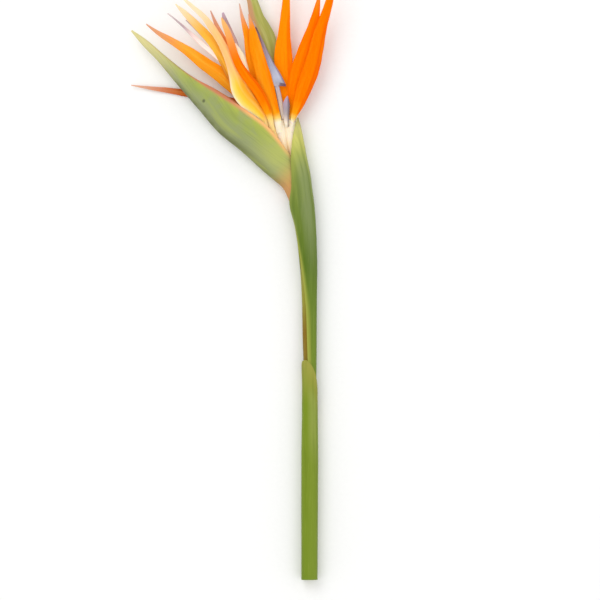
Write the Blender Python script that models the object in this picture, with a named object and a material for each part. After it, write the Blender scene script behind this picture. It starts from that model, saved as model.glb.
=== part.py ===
"""Bird of paradise flower, one cut stem that lies on a flat surface.

X and Y lie in the surface and Z is up. The origin is the middle of the flat spot under
the neck, where the stem meets the spathe. The stem runs towards -Y and the flower head
fans out towards +Y and -X. Lengths are millimetres up to the mesh, which is in metres.
"""
import math

import bmesh
import bpy
import numpy as np

MM = 0.001

# Wall thicknesses, and the least width of a blade
SHEATH_THICKNESS = 0.9
SPATHE_THICKNESS = 1.3
BLADE_THICKNESS = 0.9
THINNEST_WIDTH = 0.8

# How finely each kind of piece is divided
BLADE_SECTIONS = 12
BLADE_COLUMNS = 4
CLAW_SECTIONS = 5
BARB_SECTIONS = 8
SHEATH_COLUMNS = 12
SPATHE_SECTIONS = 22
SPATHE_COLUMNS = 14
ROD_SIDES = 12

# A boxy ellipse has an exponent below 1, a sharply keeled one above 1
SHEATH_BOXINESS = 0.75
SPATHE_KEEL = 1.15

# How a blade curves down to its edges
BLADE_CURVE = 1.5

# A sheath keeps this radius inside, and a spathe wall this share of the half thickness
LEAST_RADIUS = 0.3
SPATHE_WALL_SHARE = 0.45

# Edges bent by more than this, in degrees, are shaded sharp
SHARP_ANGLE = 40.0

# Stem: x, y, z, half width across, half height. It bends into the spathe at its top.
STEM_STATIONS = [
    (7.6, -312.0, 6.4, 5.0, 5.0),
    (7.9, -225.0, 6.7, 4.1, 4.1),
    (7.7, -157.0, 7.0, 4.1, 4.1),
    (7.0, -120.0, 7.2, 4.9, 4.7),
    (6.8, -95.0, 7.3, 5.1, 4.8),
    (6.2, -57.0, 7.6, 5.9, 5.3),
    (4.2, -28.0, 7.9, 6.7, 5.5),
    (2.4, -11.0, 8.2, 6.2, 5.0),
    (-1.4, 0.0, 8.4, 5.2, 4.4),
    (-7.4, 7.0, 8.7, 3.9, 3.8),
    (-12.6, 11.2, 8.9, 3.0, 3.2),
]
STEM_SECTIONS = 26

# Sheaths: x, y, z of the middle, half width, half height, and the angles of the far and
# the near margin, in degrees from +X over the near side
UPPER_SHEATH_STATIONS = [
    (7.8, -215.0, 6.7, 5.4, 5.4, -155.0, 82.0),
    (7.9, -157.0, 7.0, 5.2, 5.2, -150.0, 97.0),
    (7.5, -120.0, 7.2, 5.9, 5.8, -150.0, 103.0),
    (7.3, -95.0, 7.3, 6.2, 5.9, -150.0, 108.0),
    (6.4, -57.0, 7.6, 7.4, 6.7, -156.0, 140.0),
    (4.1, -28.0, 7.9, 8.7, 7.6, -165.0, 172.0),
    (1.3, -11.0, 8.1, 10.2, 8.7, -160.0, 164.0),
    (0.4, 0.0, 8.2, 9.6, 9.0, -138.0, 137.0),
    (-0.6, 13.0, 8.3, 8.9, 8.9, -130.0, 130.0),
    (-2.4, 27.0, 8.6, 7.8, 8.0, -122.0, 122.0),
    (-3.0, 40.0, 9.4, 5.9, 5.8, -100.0, 116.0),
    (-2.6, 51.0, 12.0, 3.2, 4.0, -70.0, 108.0),
    (-2.4, 57.8, 15.0, 1.0, 1.0, -60.0, 90.0),
]
UPPER_SHEATH_SECTIONS = 28

# The lower sheath wraps nearly all round, in degrees, and its rounded tip lies over the
# near left side of the stem. Its stations are y, x, z and radius.
LOWER_SHEATH_STATIONS = [
    (-312.0, 7.6, 6.4, 6.5),
    (-260.0, 7.7, 6.7, 6.7),
    (-215.0, 7.8, 6.8, 6.8),
    (-180.0, 7.9, 6.9, 6.4),
    (-157.0, 7.9, 7.0, 6.3),
    (-136.0, 7.7, 7.1, 6.7),
]
LOWER_SHEATH_MARGINS = (-62.0, 292.0)
LOWER_SHEATH_TIP_ANGLE = 107.0
LOWER_SHEATH_TIP_DROP = 48.0
LOWER_SHEATH_TIP_CURVES = (1.3, 2.5)
LOWER_SHEATH_SECTIONS = 14

# Spathe: keel x, y, near margin x, y, height of the middle, half thickness, the angle
# from the keel round to the margins, and how far the far margin stands above the near
SPATHE_STATIONS = [
    (-7.4, -13.0, 1.5, -12.0, 8.2, 6.7, 86.0, 0.0),
    (-9.4, -7.0, 2.0, -4.5, 8.2, 6.6, 94.0, 0.0),
    (-14.4, 2.4, -0.5, 14.0, 8.4, 6.2, 128.0, 0.0),
    (-20.0, 7.2, -4.0, 22.5, 8.6, 6.1, 144.0, 0.0),
    (-27.7, 13.6, -9.6, 30.6, 8.9, 7.6, 138.0, 0.0),
    (-46.0, 30.2, -25.3, 50.1, 9.7, 9.6, 130.0, 0.2),
    (-66.0, 46.8, -45.2, 65.2, 9.8, 9.9, 128.0, 1.3),
    (-80.4, 63.6, -65.3, 78.3, 11.4, 8.8, 128.0, 1.3),
    (-99.0, 85.2, -90.1, 93.3, 12.2, 6.6, 134.0, 0.0),
    (-114.4, 103.7, -109.1, 108.4, 12.8, 4.4, 138.0, 0.0),
    (-126.3, 116.0, -122.8, 120.1, 13.2, 2.8, 138.0, 0.0),
    (-135.2, 126.9, -134.2, 127.9, 13.6, 1.0, 138.0, 0.0),
]

# Floret bases: x, y, z, half width across, half height, from the stem to the sepals
FLORET_BASES = {
    "floret_1_base": [
        (-4.6, 12.0, 9.0, 1.9, 2.0), (-5.0, 24.0, 9.1, 2.4, 2.0),
        (-6.6, 40.0, 9.9, 3.5, 3.1), (-7.1, 48.0, 10.2, 3.9, 2.8),
        (-7.7, 56.0, 10.5, 3.7, 1.7),
    ],
    "floret_2_base": [
        (-9.4, 14.6, 9.0, 1.9, 2.2), (-11.0, 24.0, 9.4, 2.4, 2.8),
        (-14.0, 40.0, 9.9, 2.9, 3.1), (-15.2, 48.0, 10.2, 3.3, 2.8),
        (-16.6, 55.7, 10.3, 3.1, 1.7),
    ],
    "floret_3_base": [
        (-14.6, 15.8, 9.2, 1.9, 2.2), (-17.0, 25.0, 9.6, 2.4, 2.8),
        (-20.8, 40.0, 10.2, 2.8, 3.1), (-22.4, 48.0, 10.6, 3.2, 2.9),
        (-24.1, 56.0, 10.9, 3.1, 2.0),
    ],
    "floret_4_base": [
        (-19.4, 16.8, 9.2, 1.9, 2.2), (-23.0, 26.0, 9.6, 2.4, 2.8),
        (-28.4, 40.0, 9.8, 2.8, 3.0), (-32.6, 53.4, 10.0, 3.3, 3.2),
    ],
}
BASE_SECTIONS = 6

# Blades: material, keel, then x, y, z and width of each station, from root to tip
BLADES = {
    "floret_1_sepal_front": ("sepal_deep", 0.14, [
        (-5.9, 46.5, 14.1, 4.4), (-5.3, 57.0, 13.0, 4.2), (-1.4, 68.0, 14.2, 8.6),
        (3.4, 81.6, 15.8, 12.4), (9.0, 96.8, 18.0, 13.0), (16.5, 127.2, 23.0, 9.2),
        (23.9, 152.0, 28.0, 5.7), (28.8, 188.0, 37.0, 0.8),
    ]),
    "floret_1_sepal_middle": ("sepal_deep", 0.10, [
        (-6.2, 57.0, 10.4, 5.0), (-4.2, 68.0, 11.0, 8.6), (-3.2, 80.0, 12.0, 12.4),
        (-1.2, 92.0, 13.2, 14.4), (4.0, 112.0, 15.5, 10.9), (10.1, 128.8, 17.6, 9.2),
        (13.6, 144.8, 19.6, 4.8), (16.0, 159.2, 21.5, 0.8),
    ]),
    "floret_1_sepal_back": ("sepal_deep", -0.10, [
        (-7.8, 57.0, 8.2, 5.0), (-8.4, 65.6, 8.2, 7.2), (-10.0, 76.0, 8.4, 11.2),
        (-12.4, 92.0, 9.0, 14.4), (-13.4, 108.8, 10.0, 14.0), (-12.3, 130.4, 11.4, 8.9),
        (-11.0, 152.0, 13.0, 6.1), (-10.6, 185.6, 16.0, 0.8),
    ]),
    "floret_1_hood_petal": ("petal_pale", 0.16, [
        (-10.4, 50.5, 14.4, 2.8), (-10.9, 57.0, 13.9, 4.4), (-11.0, 62.0, 14.1, 5.0),
        (-10.9, 69.5, 14.9, 5.0), (-10.0, 75.0, 15.6, 0.8),
    ]),
    "floret_2_sepal_front": ("sepal_bright", 0.14, [
        (-16.2, 45.5, 14.2, 4.6), (-18.5, 57.4, 13.7, 6.4), (-22.0, 67.0, 14.4, 9.4),
        (-26.3, 80.0, 15.8, 12.4), (-30.5, 96.0, 18.8, 11.4), (-35.2, 112.8, 21.8, 9.8),
        (-38.2, 128.6, 24.4, 4.8), (-40.9, 139.6, 26.2, 0.8),
    ]),
    "floret_2_sepal_middle": ("sepal_bright", 0.10, [
        (-16.8, 57.0, 10.4, 5.0), (-20.8, 63.2, 10.8, 6.2), (-26.4, 72.0, 11.3, 8.4),
        (-32.8, 88.0, 13.4, 10.4), (-38.4, 105.6, 16.6, 9.4), (-41.6, 121.6, 19.2, 6.6),
        (-46.0, 137.2, 22.0, 2.8), (-48.3, 148.2, 23.9, 0.8),
    ]),
    "floret_2_sepal_back": ("sepal_pale", 0.10, [
        (-18.2, 57.0, 8.2, 4.2), (-23.2, 63.2, 8.4, 5.6), (-30.4, 72.0, 9.0, 7.5),
        (-38.8, 86.4, 11.2, 9.4), (-44.8, 100.0, 13.6, 8.0), (-48.6, 109.6, 15.7, 5.0),
        (-51.4, 117.0, 17.6, 0.8),
    ]),
    "floret_3_sepal_right": ("sepal_deep", 0.14, [
        (-21.9, 47.0, 14.9, 4.0), (-23.9, 57.0, 15.9, 4.6), (-26.5, 65.0, 17.2, 6.8),
        (-30.2, 73.0, 18.7, 8.0), (-35.8, 81.8, 20.8, 8.2), (-42.6, 90.4, 22.8, 7.4),
        (-48.2, 98.6, 24.6, 6.8), (-52.0, 107.2, 26.0, 6.2), (-54.8, 116.0, 27.6, 5.8),
        (-57.8, 125.4, 29.7, 4.8), (-60.6, 132.0, 31.6, 3.4), (-62.4, 136.4, 33.0, 0.8),
    ]),
    "floret_3_sepal_middle": ("sepal_deep", -0.10, [
        (-24.4, 57.0, 10.8, 4.4), (-33.0, 72.0, 13.0, 6.4), (-41.4, 84.8, 16.4, 7.4),
        (-49.6, 98.4, 18.8, 7.2), (-56.8, 112.0, 21.4, 6.0), (-63.2, 124.0, 24.0, 4.4),
        (-67.8, 134.0, 26.3, 2.6), (-71.2, 142.2, 28.7, 0.8),
    ]),
    "floret_3_sepal_left": ("sepal_yellow", 0.14, [
        (-26.8, 50.0, 15.0, 3.8), (-29.5, 57.2, 15.3, 5.5), (-35.8, 64.6, 16.2, 9.8),
        (-42.8, 71.9, 18.2, 13.7), (-47.9, 80.2, 20.0, 14.0), (-51.2, 90.6, 21.2, 11.2),
        (-55.4, 102.6, 22.8, 8.4), (-61.8, 115.2, 25.6, 6.4), (-69.6, 128.0, 28.2, 5.8),
        (-76.3, 136.8, 31.0, 4.6), (-85.2, 144.8, 33.4, 3.4), (-95.2, 153.6, 36.4, 0.8),
    ]),
    "floret_4_sepal_upper": ("sepal_yellow", 0.12, [
        (-31.4, 54.6, 12.6, 2.8), (-38.4, 65.6, 13.0, 4.4), (-48.0, 78.4, 14.4, 6.4),
        (-56.0, 92.8, 16.0, 7.2), (-62.4, 105.6, 17.0, 7.2), (-68.8, 116.0, 18.4, 7.2),
        (-75.2, 124.0, 19.6, 6.8), (-82.4, 131.2, 21.0, 6.4), (-93.6, 142.4, 23.6, 3.6),
        (-99.2, 147.7, 25.0, 0.8),
    ]),
    "floret_4_sepal_middle": ("sepal_bright", 0.10, [
        (-33.6, 54.6, 9.6, 2.8), (-40.8, 67.2, 9.5, 5.6), (-50.4, 79.2, 10.4, 9.6),
        (-62.4, 91.2, 12.0, 12.0), (-76.0, 100.8, 13.6, 10.4), (-88.8, 110.4, 15.2, 8.0),
        (-101.6, 118.4, 16.8, 5.6), (-114.4, 126.0, 18.6, 3.2), (-122.8, 132.2, 20.0, 0.8),
    ]),
    "floret_4_sepal_lower": ("sepal_brown", -0.08, [
        (-34.6, 54.4, 7.0, 2.6), (-37.2, 62.8, 5.8, 3.6), (-42.0, 68.8, 3.2, 3.8),
        (-48.0, 71.2, 1.5, 3.9), (-60.0, 72.8, 1.1, 4.8), (-76.0, 75.6, 1.0, 5.4),
        (-91.2, 78.0, 1.1, 5.6), (-104.0, 80.0, 1.5, 4.6), (-119.6, 82.0, 2.4, 2.8),
        (-135.4, 84.3, 3.6, 0.8),
    ]),
    "floret_4_arrow_petal": ("petal_withered", 0.12, [
        (-30.8, 54.6, 8.6, 1.6), (-42.0, 68.0, 7.6, 1.8), (-51.0, 84.0, 8.6, 1.8),
        (-57.0, 96.2, 9.8, 2.2), (-62.8, 102.8, 12.6, 3.4), (-80.2, 118.2, 16.4, 3.6),
        (-96.0, 132.8, 20.0, 1.6), (-105.6, 140.6, 21.6, 0.8),
    ]),
    "inner_bract": ("bract_green", -0.16, [
        (-10.6, 46.0, 6.0, 2.6), (-11.2, 58.0, 5.6, 5.0), (-12.6, 69.6, 5.4, 8.0),
        (-16.8, 84.0, 5.4, 12.0), (-22.4, 102.4, 5.8, 15.5), (-27.2, 121.6, 7.2, 15.0),
        (-34.4, 137.6, 9.0, 12.0), (-38.4, 152.0, 11.0, 8.2), (-49.6, 180.0, 16.0, 0.8),
    ]),
}

# Arrow petals: material, keel, the claw and the barbed head. A head station ends with how
# far its edges reach back towards the root.
ARROWS = {
    "floret_1_arrow_petal": ("petal_blue", 0.12, [
        (-13.2, 57.0, 11.9, 2.8), (-13.9, 61.0, 11.8, 3.6), (-14.9, 66.0, 11.9, 4.0),
        (-16.3, 72.8, 12.3, 4.0), (-18.4, 82.8, 13.6, 3.6),
    ], [
        (-18.8, 84.8, 13.6, 14.0, 3.6), (-20.8, 90.4, 14.3, 12.0, 2.0),
        (-23.6, 98.4, 15.4, 8.0, 0.6), (-27.2, 108.0, 17.0, 5.2, 0.0),
        (-31.2, 118.4, 18.8, 3.6, 0.0), (-35.4, 129.8, 20.8, 1.0, 0.0),
    ]),
    "floret_2_arrow_petal": ("petal_blue", 0.12, [
        (-14.4, 57.6, 8.2, 2.0), (-18.6, 64.0, 8.6, 2.2), (-23.6, 74.0, 9.4, 2.4),
        (-28.0, 84.6, 10.4, 2.6),
    ], [
        (-28.4, 85.8, 10.5, 8.0, 3.0), (-30.2, 91.0, 11.2, 6.6, 1.6),
        (-33.0, 99.0, 12.2, 4.6, 0.4), (-37.0, 114.0, 14.2, 1.0, 0.0),
    ]),
    "floret_3_arrow_petal": ("petal_withered", 0.12, [
        (-25.6, 57.0, 8.6, 2.0), (-34.0, 71.0, 7.0, 2.2), (-41.0, 84.0, 8.2, 2.4),
        (-46.0, 95.0, 9.8, 2.6),
    ], [
        (-46.4, 96.2, 10.0, 5.0, 2.0), (-49.0, 106.0, 12.0, 4.8, 1.0),
        (-52.3, 118.0, 14.4, 4.8, 0.0), (-55.6, 125.0, 17.0, 4.8, 0.0),
        (-59.8, 134.4, 22.6, 4.4, 0.0), (-61.4, 140.8, 26.4, 1.6, 0.0),
    ]),
}

# Styles: material, then x, y, z and radius of each station
STYLES = {
    "floret_1_style": ("style", [
        (-11.9, 58.0, 9.2, 0.4), (-15.4, 66.0, 10.0, 0.4), (-18.6, 83.6, 11.8, 0.5),
        (-23.6, 98.4, 14.2, 0.5), (-31.2, 118.4, 17.6, 0.5), (-37.4, 134.4, 20.4, 0.4),
    ]),
    "floret_4_style": ("style", [
        (-30.6, 54.6, 10.8, 0.5), (-41.0, 68.4, 11.2, 0.5), (-52.6, 86.0, 12.8, 0.5),
        (-63.4, 103.4, 15.0, 0.5), (-78.6, 122.6, 18.2, 0.5), (-91.0, 135.4, 19.8, 0.4),
    ]),
}
STYLE_SECTIONS = 12
STYLE_SIDES = 6

# Colour, roughness
MATERIALS = {
    "stem_green": ((0.16, 0.24, 0.06), 0.45),
    "sheath_green": ((0.15, 0.22, 0.05), 0.45),
    "spathe_green": ((0.36, 0.42, 0.17), 0.50),
    "bract_green": ((0.48, 0.50, 0.15), 0.50),
    "base_cream": ((0.95, 0.88, 0.72), 0.50),
    "sepal_deep": ((1.00, 0.22, 0.00), 0.42),
    "sepal_bright": ((1.00, 0.32, 0.02), 0.42),
    "sepal_yellow": ((1.00, 0.50, 0.10), 0.42),
    "sepal_pale": ((1.00, 0.82, 0.52), 0.45),
    "sepal_brown": ((0.55, 0.17, 0.03), 0.50),
    "petal_blue": ((0.42, 0.42, 0.66), 0.40),
    "petal_pale": ((0.45, 0.40, 0.42), 0.45),
    "petal_withered": ((0.42, 0.30, 0.30), 0.55),
    "style": ((0.60, 0.42, 0.36), 0.50),
}


def clear_scene():
    for item in list(bpy.data.objects):
        bpy.data.objects.remove(item, do_unlink=True)


def material(name):
    """The Principled material of that name, made once."""
    found = bpy.data.materials.get(name)
    if found:
        return found
    colour, roughness = MATERIALS[name]
    made = bpy.data.materials.new(name)
    made.use_nodes = True
    shader = made.node_tree.nodes["Principled BSDF"]
    shader.inputs["Base Color"].default_value = (*colour, 1.0)
    shader.inputs["Roughness"].default_value = roughness
    shader.inputs["Metallic"].default_value = 0.0
    return made


def smooth(stations, sections):
    """Evenly spaced rows of a smooth curve through the stations."""
    rows = np.array(stations, dtype=float)
    steps = np.linalg.norm(np.diff(rows[:, :2], axis=0), axis=1)
    places = np.concatenate([[0.0], np.cumsum(steps)])
    slopes = np.gradient(rows, places, axis=0)
    out = []
    for place in np.linspace(0.0, places[-1], sections + 1):
        i = int(np.clip(np.searchsorted(places, place, side="right") - 1, 0, len(rows) - 2))
        span = places[i + 1] - places[i]
        u = (place - places[i]) / span
        out.append(
            (2 * u**3 - 3 * u**2 + 1) * rows[i]
            + (u**3 - 2 * u**2 + u) * span * slopes[i]
            + (3 * u**2 - 2 * u**3) * rows[i + 1]
            + (u**3 - u**2) * span * slopes[i + 1]
        )
    return np.array(out)


def directions(points):
    """Unit vectors along a line of points, across it in the surface, and out of its face."""
    along = np.gradient(points, axis=0)
    along /= np.linalg.norm(along, axis=1)[:, None]
    across = np.cross(along, [0.0, 0.0, 1.0])
    across /= np.linalg.norm(across, axis=1)[:, None]
    return along, across, np.cross(across, along)


def add_object(name, points, faces, look):
    """One closed object from points in millimetres."""
    mesh = bpy.data.meshes.new(name)
    mesh.from_pydata([tuple(float(c) * MM for c in p) for p in points], [], faces)
    work = bmesh.new()
    work.from_mesh(mesh)
    bmesh.ops.recalc_face_normals(work, faces=work.faces)
    work.to_mesh(mesh)
    work.free()
    mesh.shade_smooth()
    mesh.set_sharp_from_angle(angle=math.radians(SHARP_ANGLE))
    mesh.materials.append(material(look))
    made = bpy.data.objects.new(name, mesh)
    bpy.context.scene.collection.objects.link(made)
    return made


def add_wall(name, near, far, look):
    """A closed sheet between two grids of points, split alike on both faces.

    Each side is split the mirrored way of the other, so that swept edges don't fold over.
    """
    rows, columns = near.shape[:2]
    points = np.concatenate([near.reshape(-1, 3), far.reshape(-1, 3)])
    count = rows * columns
    faces = []
    for i in range(rows - 1):
        for j in range(columns - 1):
            a = i * columns + j
            b, c, d = a + 1, a + columns + 1, a + columns
            halves = [(a, b, c), (a, c, d)] if 2 * j < columns - 1 else [(a, b, d), (b, c, d)]
            faces += halves
            faces += [tuple(count + k for k in reversed(half)) for half in halves]
    rim = list(range(columns))
    rim += [i * columns + columns - 1 for i in range(1, rows)]
    rim += [(rows - 1) * columns + j for j in range(columns - 2, -1, -1)]
    rim += [i * columns for i in range(rows - 2, 0, -1)]
    for a, b in zip(rim, rim[1:] + rim[:1]):
        faces += [(b, a, count + a), (b, count + a, count + b)]
    return add_object(name, points, faces, look)


def add_rod(name, stations, sections, sides, look):
    """A closed rod with oval sections square to its path."""
    rows = smooth(stations, sections)
    _, across, out = directions(rows[:, :3])
    points = []
    for row, side, up in zip(rows, across, out):
        for k in range(sides):
            turn = 2 * math.pi * k / sides
            points.append(row[:3] + side * row[3] * math.cos(turn) + up * row[-1] * math.sin(turn))
    points += [rows[0, :3], rows[-1, :3]]
    faces = []
    last = sections * sides
    for k in range(sides):
        after = (k + 1) % sides
        for i in range(sections):
            a, b = i * sides + k, i * sides + after
            faces += [(a, b, b + sides), (a, b + sides, a + sides)]
        faces += [(len(points) - 2, after, k)]
        faces += [(len(points) - 1, last + k, last + after)]
    return add_object(name, points, faces, look)


def blade_grids(rows, keel, thickness=BLADE_THICKNESS, columns=BLADE_COLUMNS):
    """Both faces of a keeled blade. Rows hold x, y, z, width and how far edges sweep back."""
    along, across, out = directions(rows[:, :3])
    places = np.linspace(-1.0, 1.0, columns + 1)
    near, far = [], []
    for row, ahead, side, up in zip(rows, along, across, out):
        width = max(row[3], THINNEST_WIDTH)
        back = row[4] if len(row) > 4 else 0.0
        for face, lift in ((near, thickness / 2), (far, -thickness / 2)):
            face.append([
                row[:3]
                + side * v * width / 2
                + up * (keel * width * (0.5 - abs(v) ** BLADE_CURVE) + lift)
                - ahead * back * abs(v) ** BLADE_CURVE
                for v in places
            ])
    return np.array(near), np.array(far)


def add_blade(name, look, keel, stations):
    rows = smooth(stations, BLADE_SECTIONS)
    add_wall(name, *blade_grids(rows, keel), look)


def add_arrow(name, look, keel, claw, head):
    """An arrow petal: its narrow claw runs into a head with two barbs."""
    claw_rows = smooth(claw, CLAW_SECTIONS)
    claw_rows = np.hstack([claw_rows, np.zeros((len(claw_rows), 1))])
    rows = np.vstack([claw_rows, smooth(head, BARB_SECTIONS)])
    add_wall(name, *blade_grids(rows, keel), look)


def boxy(value, exponent):
    return math.copysign(abs(value) ** exponent, value)


def sheath_point(x, y, z, wide, high, angle, inset):
    """A point on a sheath, inset from its outer face and flattened where it rests."""
    reach = max(wide - inset, LEAST_RADIUS) * boxy(math.cos(angle), SHEATH_BOXINESS)
    rise = max(high - inset, LEAST_RADIUS) * boxy(math.sin(angle), SHEATH_BOXINESS)
    return x + reach, y, max(z + rise, inset)


def upper_sheath_grids():
    """Outer and inner face of the sheath that wraps the stem and the neck."""
    outer, inner = [], []
    for x, y, z, wide, high, first, last in smooth(UPPER_SHEATH_STATIONS, UPPER_SHEATH_SECTIONS):
        angles = np.radians(np.linspace(first, last, SHEATH_COLUMNS + 1))
        for face, inset in ((outer, 0.0), (inner, SHEATH_THICKNESS)):
            face.append([sheath_point(x, y, z, wide, high, angle, inset) for angle in angles])
    return np.array(outer), np.array(inner)


def lower_sheath_end(degrees):
    """Where the lower sheath ends along Y at that angle round the stem."""
    near, far = LOWER_SHEATH_MARGINS
    near_curve, far_curve = LOWER_SHEATH_TIP_CURVES
    margin, curve = (far, far_curve) if degrees > LOWER_SHEATH_TIP_ANGLE else (near, near_curve)
    off_tip = (degrees - LOWER_SHEATH_TIP_ANGLE) / (margin - LOWER_SHEATH_TIP_ANGLE)
    return LOWER_SHEATH_STATIONS[-1][0] - LOWER_SHEATH_TIP_DROP * off_tip**curve


def lower_sheath_grids():
    """Outer and inner face of the sheath at the stem's lower end, with its rounded tip."""
    places, *values = np.array(LOWER_SHEATH_STATIONS).T
    first, last = LOWER_SHEATH_MARGINS
    outer, inner = [], []
    for i in range(LOWER_SHEATH_SECTIONS + 1):
        rings = ([], [])
        for angle in np.linspace(first, last, SHEATH_COLUMNS + 1):
            y = places[0] + (lower_sheath_end(angle) - places[0]) * i / LOWER_SHEATH_SECTIONS
            x, z, radius = (np.interp(y, places, value) for value in values)
            for ring, inset in zip(rings, (0.0, SHEATH_THICKNESS)):
                ring.append(sheath_point(x, y, z, radius, radius, math.radians(angle), inset))
        outer.append(rings[0])
        inner.append(rings[1])
    return np.array(outer), np.array(inner)


def spathe_grids():
    """Outer and inner face of the folded spathe, from its near margin round its keel."""
    outer, inner = [], []
    for row in smooth(SPATHE_STATIONS, SPATHE_SECTIONS):
        keel, margin = row[0:2], row[2:4]
        middle, half, turn, rise = row[4:8]
        turn = math.radians(turn)
        height = np.linalg.norm(margin - keel)
        up = (margin - keel) / height
        radius = height / (1 - math.cos(turn))
        wall = min(SPATHE_THICKNESS, SPATHE_WALL_SHARE * half)
        for face, inset in ((outer, 0.0), (inner, wall)):
            ring = []
            for place in np.linspace(1.0, -1.0, SPATHE_COLUMNS + 1):
                angle = abs(place) * turn
                along = radius - (radius - inset) * math.cos(angle)
                if place < 0:
                    along += rise * place**4
                out = (half - inset) * math.sin(angle) ** SPATHE_KEEL
                x, y = keel + up * along
                ring.append((x, y, max(middle + math.copysign(out, place), inset)))
            face.append(ring)
    return np.array(outer), np.array(inner)


def build():
    clear_scene()
    add_rod("stem", STEM_STATIONS, STEM_SECTIONS, ROD_SIDES, "stem_green")
    add_wall("upper_sheath", *upper_sheath_grids(), "sheath_green")
    add_wall("lower_sheath", *lower_sheath_grids(), "sheath_green")
    add_wall("spathe", *spathe_grids(), "spathe_green")
    for name, stations in FLORET_BASES.items():
        add_rod(name, stations, BASE_SECTIONS, ROD_SIDES, "base_cream")
    for name, (look, keel, stations) in BLADES.items():
        add_blade(name, look, keel, stations)
    for name, (look, keel, claw, head) in ARROWS.items():
        add_arrow(name, look, keel, claw, head)
    for name, (look, stations) in STYLES.items():
        add_rod(name, stations, STYLE_SECTIONS, STYLE_SIDES, look)


build()
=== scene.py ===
"""Looks for the bird of paradise flower that lies on a pale table, seen from above.

Every piece of the frame is replaced by a finer one made from the same stations as the
source. X and Y lie in the surface and Z is up. Shapes are in millimetres up to the mesh.
"""

import math

import bpy
import numpy as np
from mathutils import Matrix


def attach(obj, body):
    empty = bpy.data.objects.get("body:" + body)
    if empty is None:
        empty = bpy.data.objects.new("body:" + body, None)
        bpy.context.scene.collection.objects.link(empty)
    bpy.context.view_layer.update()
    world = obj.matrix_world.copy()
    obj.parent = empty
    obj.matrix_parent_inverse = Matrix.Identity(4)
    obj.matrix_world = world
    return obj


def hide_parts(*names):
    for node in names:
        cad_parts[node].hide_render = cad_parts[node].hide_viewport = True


# A millimetre in metres, and how detailed the noise in the looks is
MM = 0.001
NOISE_DETAIL = 3.0

# The photograph's framing in metres: the middle and width of the view, the height that
# it is measured at, and the camera's distance
VIEW_MIDDLE = (0.0, -0.088)
VIEW_WIDTH = 0.480
VIEW_HEIGHT = 0.012
CAMERA_DISTANCE = 3.0
SENSOR_WIDTH = 36.0

# Wall thicknesses at the middle, what is left of them at the edges and where bracts
# start to thin, by how much blades thin towards their tips, and a blade's least width
SHEATH_THICKNESS = 0.9
SPATHE_THICKNESS = 1.3
BLADE_THICKNESS = 0.62
ARROW_THICKNESS = 0.7
EDGE_SHARE = 0.35
EDGE_FROM = 0.9
TIP_THINNING = 0.4
THINNEST_WIDTH = 0.6

# A sheath keeps this radius inside, and a spathe wall this share of the half thickness
LEAST_RADIUS = 0.3
SPATHE_WALL_SHARE = 0.45

# How far up the sepals are white, in y
SEPAL_LINE = 57.0

# How far the sepals sink onto the floret bases at their roots, and over which share
ROOT_SINK = 1.2
SINK_SHARE = 0.08

# How much the floret bases swell to close the gaps between them, and the warmer ones
BASE_SWELL = 1.25
WARM_BASES = ("floret_3_base", "floret_4_base")

# How finely each kind of piece is divided: sections along it, and points across each
# face or round it
BLADE_SECTIONS = 120
BLADE_COLUMNS = 41
CLAW_SECTIONS = 40
SHEATH_SECTIONS = 200
SHEATH_COLUMNS = 73
SPATHE_SECTIONS = 180
SPATHE_COLUMNS = 97
STEM_SECTIONS = 220
STEM_SIDES = 48
BASE_SECTIONS = 40
BASE_SIDES = 28
STYLE_SECTIONS = 60
STYLE_SIDES = 12

# Edges bent by more than this, in degrees, are shaded sharp
SHARP_ANGLE = 50.0

# Exponents: a boxy ellipse has one below 1, a sharply keeled one above 1
SHEATH_BOXINESS = 0.75
SPATHE_KEEL = 1.15

# The way round a side of the spathe, for each millimetre from its keel to its margin.
# Its veins fade in over these shares of the way and are lower where it is slimmer than
# this half thickness.
SPATHE_GIRTH = 1.15
SPATHE_VEINS_FROM, SPATHE_VEINS_TO = 0.05, 0.3
SPATHE_VEINS_HALF = 4.0

# How a blade curves down to its edges
BLADE_CURVE = 1.5

# Creases and waves of a blade grow over these shares of its reach. Its width and its
# edges wave by these amounts, at these angles for each millimetre.
WAVES_FROM, WAVES_TO = 0.12, 0.4
WIDTH_WAVE, WIDTH_PACE = 0.02, 0.21
WIDTH_RIPPLE, RIPPLE_PACE = 0.012, 0.53
EDGE_WAVE, EDGE_PACE = 0.25, 0.33

# Each blade's seed is its count times this, so that no two have the same streaks
BLADE_SEED = 1.7
ARROW_SEED = 2.3

# An arrow petal's groove: its depth, and its width as a share of the petal's half
GROOVE_DEPTH = 0.3
GROOVE_WIDTH = 0.3

# Raised veins: how far apart they lie, how high they stand, and how steeply they fade
# out towards a margin
BLADE_VEIN_GAP = 0.75
BLADE_VEIN_HEIGHT = 0.035
SPATHE_VEIN_GAP = 1.5
SPATHE_VEIN_HEIGHT = 0.05
SHEATH_VEIN_GAP = 1.1
SHEATH_VEIN_HEIGHT = 0.05
BASE_VEIN_GAP = 1.3
BASE_VEIN_HEIGHT = 0.05
VEIN_FADE = 8

# The small dark blemish on the spathe: lengths along and around it, and its radius
SPOT = (110.0, 12.0, 1.8)

# The floor's size and how far it lies below the flower, in metres, and the white
# world's strength
FLOOR_SIZE = 8.0
FLOOR_DROP = 0.0003
WORLD_STRENGTH = 0.88

# Lights: place and size in metres, and power. They all face the same spot.
LIGHTS = {
    "key": ((-0.7, 0.9, 1.5), 1.3, 9.0),
    "fill": ((0.9, -0.6, 1.6), 1.4, 3.0),
}
LIGHT_TARGET = (-0.02, 0.0, 0.0)

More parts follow.
